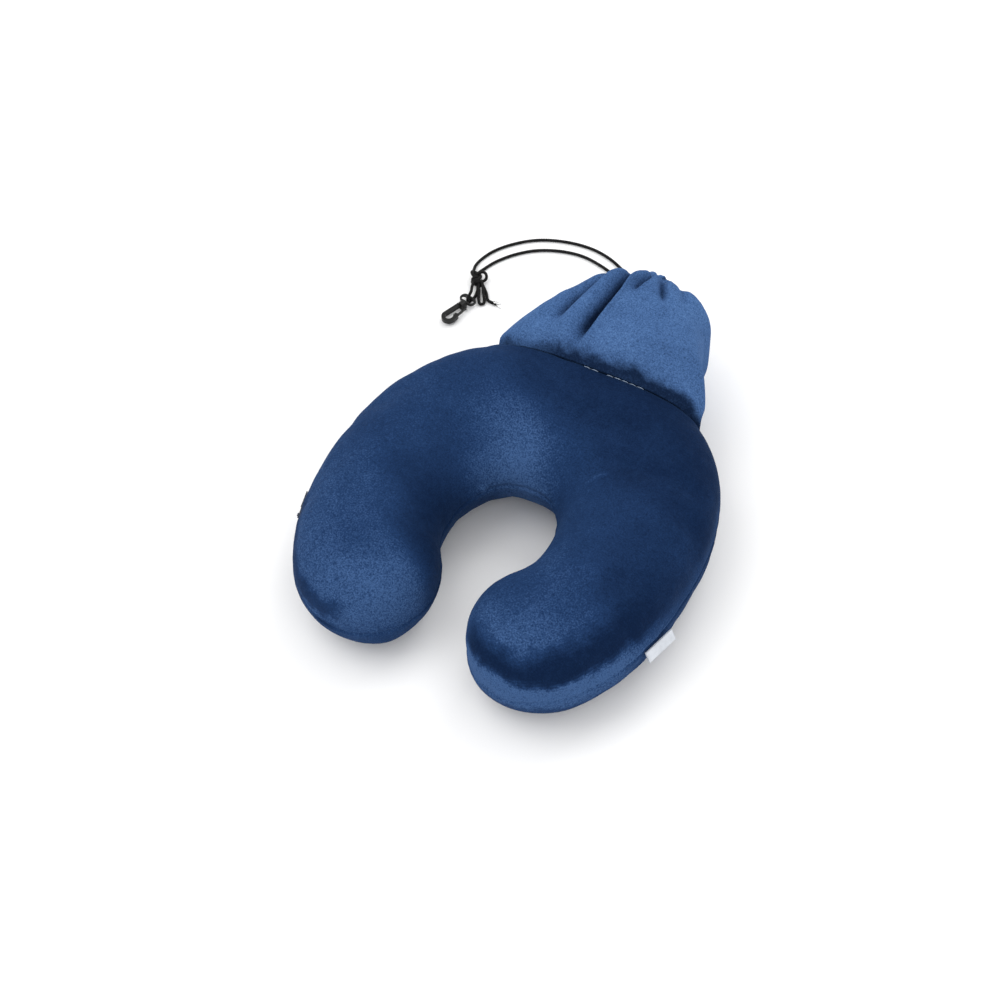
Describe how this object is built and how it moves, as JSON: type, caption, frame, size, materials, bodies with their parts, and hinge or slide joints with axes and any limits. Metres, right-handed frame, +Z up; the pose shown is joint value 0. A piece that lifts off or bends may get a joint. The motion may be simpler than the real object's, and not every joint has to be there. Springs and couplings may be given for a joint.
{
  "type": "neck pillow",
  "caption": "U shaped travel neck pillow with a foam core in a zipped velour cover, a drawstring pouch along its back and a swivel snap hook on the cord.",
  "frame": {"origin": "on the surface it lies on, under the middle of the box round the pillow and its pouch", "axes": "+Z up, the lobes point along -Y, the pouch lies along +Y, X runs across the pillow"},
  "size_m": [0.3296, 0.4541, 0.103],
  "materials": {
    "foam": "moulded open cell foam with a fine skin",
    "liner": "thin knitted liner, matt",
    "velour": "short pile velour with brushed nap",
    "label_tape": "plain woven satin tape, blank",
    "zip_tape": "woven twill tape",
    "zip_teeth": "coiled nylon teeth",
    "zip_metal": "die cast and enamelled",
    "binding": "woven seam tape",
    "thread": "twisted polyester thread",
    "cord": "round braided cord",
    "hook_plastic": "moulded, satin"
  },
  "bodies": {
    "pillow": {"foam_core": "foam", "foam_liner": "liner", "cover_top": "velour", "cover_bottom": "velour", "side_label": "label_tape", "care_label": "label_tape", "zip_tape_upper": "zip_tape", "zip_tape_lower": "zip_tape", "zip_teeth_upper": "zip_teeth", "zip_teeth_lower": "zip_teeth", "zip_end_stops": "zip_teeth", "pouch_binding": "binding", "pouch_stitching": "thread", "drawstring_outer_run": "cord", "drawstring_inner_run": "cord", "cord_knot": "cord", "cord_bight": "cord", "cord_tail": "cord"},
    "pouch": {"pouch_upper": "velour", "pouch_lower": "velour", "pouch_hem": "velour", "drawstring_in_hem": "cord"},
    "slider": {"zip_slider": "zip_metal"},
    "pull": {"zip_pull": "zip_metal"},
    "eye": {"swivel_eye": "hook_plastic"},
    "hook": {"snap_hook": "hook_plastic"},
    "gate": {"hook_gate": "hook_plastic"}
  },
  "joints": [
    {"name": "pouch_fold", "type": "hinge", "parent": "pillow", "child": "pouch", "pos_m": [0, 0.0865, 0.083], "axis": [1, 0, 0], "range_deg": [0, 45], "deforming": ["drawstring_outer_run", "drawstring_inner_run"]},
    {"name": "zip_run", "type": "hinge", "parent": "pillow", "child": "slider", "pos_m": [0.095, -0.055, 0.046], "axis": [0, 0, -1], "range_deg": [0, 28]},
    {"name": "zip_pull_turn", "type": "hinge", "parent": "slider", "child": "pull", "pos_m": [-0.14366, -0.11628, 0.046], "axis": [0, 0, 1], "range_deg": [0, 150]},
    {"name": "hook_hang", "type": "hinge", "parent": "pillow", "child": "eye", "pos_m": [-0.15901, 0.16766, 0.004], "axis": [-0.9816, 0.1908, 0], "range_deg": [0, 60], "deforming": ["cord_bight"]},
    {"name": "hook_swivel", "type": "hinge", "parent": "eye", "child": "hook", "pos_m": [-0.16069, 0.15902, 0.004], "axis": [-0.1908, -0.9816, 0], "continuous": true},
    {"name": "gate_flex", "type": "hinge", "parent": "hook", "child": "gate", "pos_m": [-0.15665, 0.15569, 0.004], "axis": [0, 0, -1], "range_deg": [0, 18], "stiffness_Nm_per_rad": 0.02}
  ]
}
